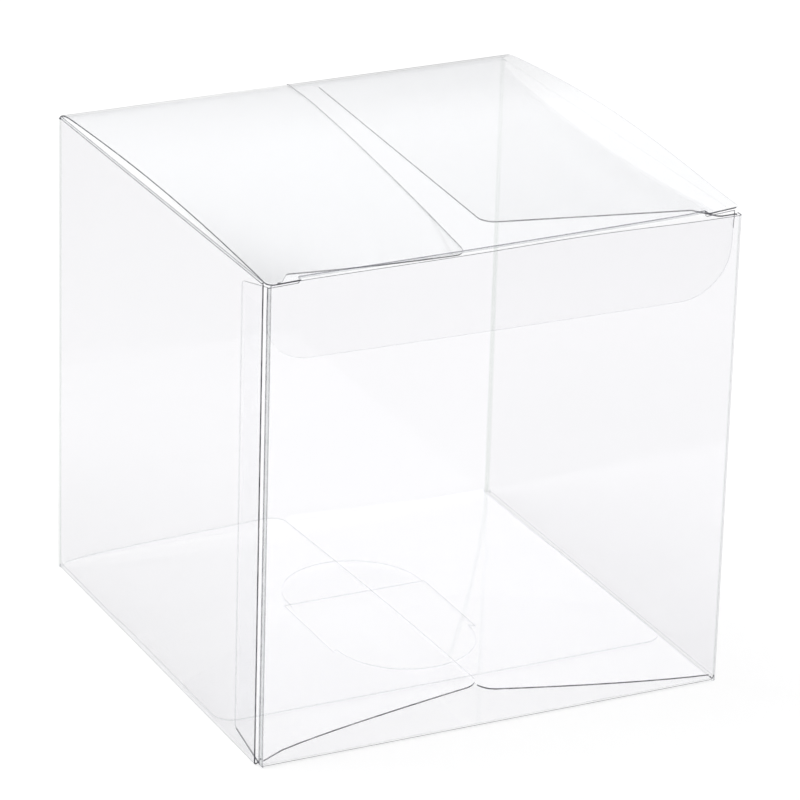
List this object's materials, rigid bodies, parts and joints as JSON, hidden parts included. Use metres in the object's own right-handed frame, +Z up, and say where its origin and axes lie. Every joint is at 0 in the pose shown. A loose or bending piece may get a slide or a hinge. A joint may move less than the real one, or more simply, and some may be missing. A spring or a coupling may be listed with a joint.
{
  "type": "clear folding gift box",
  "caption": "Clear folding gift box: a cube of thin creased sheet with a glued side seam, a hinged tuck-in lid over dust flaps, and a base locked by a tongue through a window.",
  "frame": {"origin": "middle of the footprint, on the surface that the box stands on", "axes": "+Z up, -Y towards the front wall that the lid tucks behind, +X to the right seen from the front"},
  "size_m": [0.1016, 0.1024, 0.1057],
  "materials": {
    "clear_sheet": "clear, glossy, faintly cool, with darker cut edges",
    "clear_glue": "clear, slightly hazy, with small bubbles"
  },
  "bodies": {
    "box": {"front_wall": "clear_sheet", "right_wall": "clear_sheet", "back_wall": "clear_sheet", "left_wall": "clear_sheet", "glue_flap": "clear_sheet", "seam_glue": "clear_glue", "base_front_panel": "clear_sheet", "base_back_panel": "clear_sheet"},
    "lid": {"lid": "clear_sheet"},
    "tuck": {"tuck_flap": "clear_sheet"},
    "left_dust": {"left_dust_flap": "clear_sheet"},
    "right_dust": {"right_dust_flap": "clear_sheet"},
    "base_left": {"base_left_flap": "clear_sheet"},
    "base_right": {"base_right_flap": "clear_sheet"}
  },
  "joints": [
    {"name": "lid_hinge", "type": "hinge", "parent": "box", "child": "lid", "pos_m": [0, 0.05105, 0.10015], "axis": [-1, 0, 0], "range_deg": [0, 180]},
    {"name": "tuck_hinge", "type": "hinge", "parent": "lid", "child": "tuck", "pos_m": [0, -0.0496, 0.10075], "axis": [-1, 0, -0.0098], "range_deg": [0, 45]},
    {"name": "left_dust_hinge", "type": "hinge", "parent": "box", "child": "left_dust", "pos_m": [-0.0498, 0, 0.0997], "axis": [0, 1, 0], "range_deg": [0, 75]},
    {"name": "right_dust_hinge", "type": "hinge", "parent": "box", "child": "right_dust", "pos_m": [0.0502, 0, 0.0997], "axis": [0, -1, 0], "range_deg": [0, 75]},
    {"name": "base_left_hinge", "type": "hinge", "parent": "box", "child": "base_left", "pos_m": [-0.0498, 0, 0.00105], "axis": [0, -1, 0], "range_deg": [0, 70]},
    {"name": "base_right_hinge", "type": "hinge", "parent": "box", "child": "base_right", "pos_m": [0.0502, 0, 0.00105], "axis": [0, 1, 0], "range_deg": [0, 70]}
  ],
  "couplings": [
    {"joint": "tuck_hinge", "follows": "lid_hinge", "ratio": 0.25}
  ]
}
